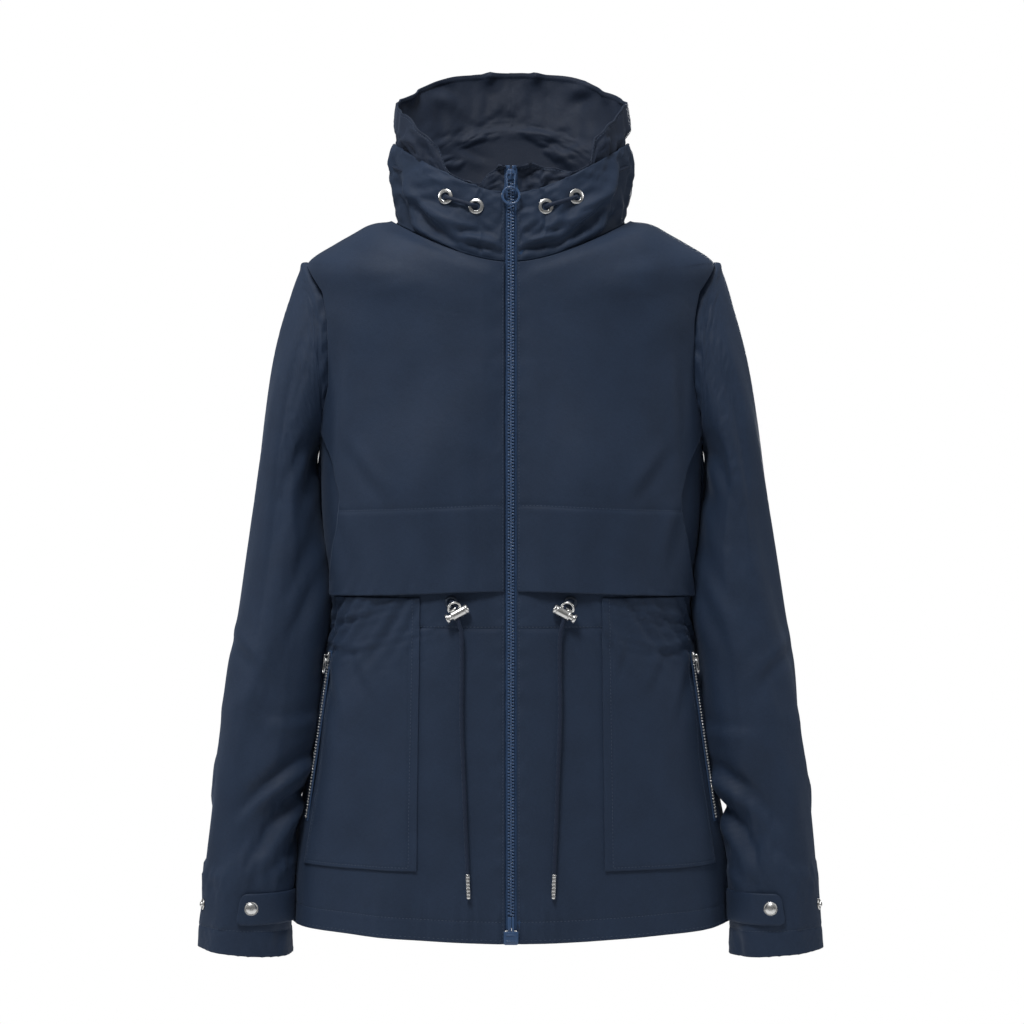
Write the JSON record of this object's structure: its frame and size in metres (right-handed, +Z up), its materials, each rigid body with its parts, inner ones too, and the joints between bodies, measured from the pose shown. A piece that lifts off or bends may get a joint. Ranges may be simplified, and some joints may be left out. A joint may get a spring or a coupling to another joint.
{
  "type": "foul weather jacket",
  "caption": "Hip-length foul weather jacket with a tall gathered collar, chest storm flaps, full front zip, drawcord waist, patch pockets and snap cuff tabs.",
  "frame": {"origin": "centre of the neck opening, level with the base of the neck, where the wearer or form carries the jacket", "axes": "+Z up, +X towards the wearer's left, -Y towards the wearer's front"},
  "size_m": [0.605, 0.2467, 0.871],
  "materials": {
    "shell_cloth": "matte",
    "inner_cloth": "matte",
    "drawcord": "matte",
    "zip_plastic": "satin",
    "zip_tape": "matte",
    "metal_trim": "polished"
  },
  "bodies": {
    "jacket_shell": {"back_panel": "shell_cloth", "back_yoke": "shell_cloth", "front_panel_left": "shell_cloth", "front_panel_right": "shell_cloth", "yoke_flap_left": "shell_cloth", "yoke_flap_right": "shell_cloth", "patch_pocket_left": "shell_cloth", "patch_pocket_right": "shell_cloth", "collar_stand": "shell_cloth", "waist_casing": "inner_cloth", "storm_flap": "inner_cloth", "collar_funnel": "inner_cloth", "hanger_loop": "inner_cloth", "collar_drawcord": "drawcord", "waist_drawcord": "drawcord", "waist_cord_left": "drawcord", "waist_cord_right": "drawcord", "zip_teeth_left": "zip_plastic", "zip_teeth_right": "zip_plastic", "zip_top_stop_left": "zip_plastic", "zip_top_stop_right": "zip_plastic", "zip_box": "zip_plastic", "zip_pin": "zip_plastic", "zip_tape_left": "zip_tape", "zip_tape_right": "zip_tape", "collar_eyelet_left_inner": "metal_trim", "collar_eyelet_left_outer": "metal_trim", "collar_eyelet_right_inner": "metal_trim", "collar_eyelet_right_outer": "metal_trim", "pocket_zip_left": "metal_trim", "waist_eyelet_left": "metal_trim", "cord_tip_left": "metal_trim", "pocket_zip_right": "metal_trim", "waist_eyelet_right": "metal_trim", "cord_tip_right": "metal_trim"},
    "sleeve_left": {"sleeve_left": "shell_cloth", "near_stud_left": "metal_trim", "far_stud_left": "metal_trim"},
    "cuff_tab_left": {"cuff_tab_left": "shell_cloth", "snap_cap_left": "metal_trim"},
    "pocket_slider_left": {"pocket_zip_slider_left": "metal_trim"},
    "pocket_pull_left": {"pocket_zip_pull_left": "metal_trim"},
    "cord_lock_left": {"cord_lock_body_left": "metal_trim", "cord_lock_spring_left": "metal_trim"},
    "cord_lock_plunger_left": {"cord_lock_plunger_left": "metal_trim"},
    "sleeve_right": {"sleeve_right": "shell_cloth", "near_stud_right": "metal_trim", "far_stud_right": "metal_trim"},
    "cuff_tab_right": {"cuff_tab_right": "shell_cloth", "snap_cap_right": "metal_trim"},
    "pocket_slider_right": {"pocket_zip_slider_right": "metal_trim"},
    "pocket_pull_right": {"pocket_zip_pull_right": "metal_trim"},
    "cord_lock_right": {"cord_lock_body_right": "metal_trim", "cord_lock_spring_right": "metal_trim"},
    "cord_lock_plunger_right": {"cord_lock_plunger_right": "metal_trim"},
    "zip_slider": {"zip_slider": "zip_plastic"},
    "zip_pull_link": {"zip_pull_link": "zip_plastic"},
    "zip_pull_ring": {"zip_pull_ring": "zip_plastic"}
  },
  "joints": [
    {"name": "sleeve_raise_left", "type": "hinge", "parent": "jacket_shell", "child": "sleeve_left", "pos_m": [0.199, 0, -0.024], "axis": [0, -1, 0], "range_deg": [0, 45]},
    {"name": "cuff_tab_open_left", "type": "hinge", "parent": "sleeve_left", "child": "cuff_tab_left", "pos_m": [0.21062, -0.03124, -0.65102], "axis": [0.0122, -0.0167, -0.9998], "range_deg": [0, 44]},
    {"name": "pocket_zip_slide_left", "type": "slide", "parent": "jacket_shell", "child": "pocket_slider_left", "axis": [-0.1409, 0.0102, 0.99], "range_m": [-0.145, 0]},
    {"name": "pocket_pull_swing_left", "type": "hinge", "parent": "pocket_slider_left", "child": "pocket_pull_left", "pos_m": [0.18045, -0.03555, -0.41309], "axis": [-0.2841, -0.9583, -0.0306], "range_deg": [0, 28]},
    {"name": "cord_lock_slide_left", "type": "slide", "parent": "jacket_shell", "child": "cord_lock_left", "axis": [-0.0403, -0.0367, -0.9985], "range_m": [0, 0.12]},
    {"name": "cord_lock_press_left", "type": "slide", "parent": "cord_lock_left", "child": "cord_lock_plunger_left", "axis": [-0.8829, 0, 0.4695], "range_m": [0, 0.0027], "stiffness_N_per_m": 400, "deforming": ["cord_lock_spring_left"]},
    {"name": "sleeve_raise_right", "type": "hinge", "parent": "jacket_shell", "child": "sleeve_right", "pos_m": [-0.199, 0, -0.024], "axis": [0, 1, 0], "range_deg": [0, 45]},
    {"name": "cuff_tab_open_right", "type": "hinge", "parent": "sleeve_right", "child": "cuff_tab_right", "pos_m": [-0.21062, -0.03124, -0.65102], "axis": [0.0122, 0.0167, 0.9998], "range_deg": [0, 44]},
    {"name": "pocket_zip_slide_right", "type": "slide", "parent": "jacket_shell", "child": "pocket_slider_right", "axis": [0.1409, 0.0102, 0.99], "range_m": [-0.145, 0]},
    {"name": "pocket_pull_swing_right", "type": "hinge", "parent": "pocket_slider_right", "child": "pocket_pull_right", "pos_m": [-0.18045, -0.03555, -0.41309], "axis": [-0.2841, 0.9583, 0.0306], "range_deg": [0, 28]},
    {"name": "cord_lock_slide_right", "type": "slide", "parent": "jacket_shell", "child": "cord_lock_right", "axis": [0.0403, -0.0367, -0.9985], "range_m": [0, 0.12]},
    {"name": "cord_lock_press_right", "type": "slide", "parent": "cord_lock_right", "child": "cord_lock_plunger_right", "axis": [0.8829, 0, 0.4695], "range_m": [0, 0.0027], "stiffness_N_per_m": 400, "deforming": ["cord_lock_spring_right"]},
    {"name": "zip_slide", "type": "slide", "parent": "jacket_shell", "child": "zip_slider", "axis": [0, 0.0411, 0.9992], "range_m": [-0.705, 0]},
    {"name": "zip_link_swing", "type": "hinge", "parent": "zip_slider", "child": "zip_pull_link", "pos_m": [0, -0.09865, 0.0476], "axis": [-1, 0, 0], "range_deg": [0, 120]},
    {"name": "zip_ring_swing", "type": "hinge", "parent": "zip_pull_link", "child": "zip_pull_ring", "pos_m": [0, -0.10112, 0.03362], "axis": [-1, 0, 0], "range_deg": [0, 90]}
  ]
}
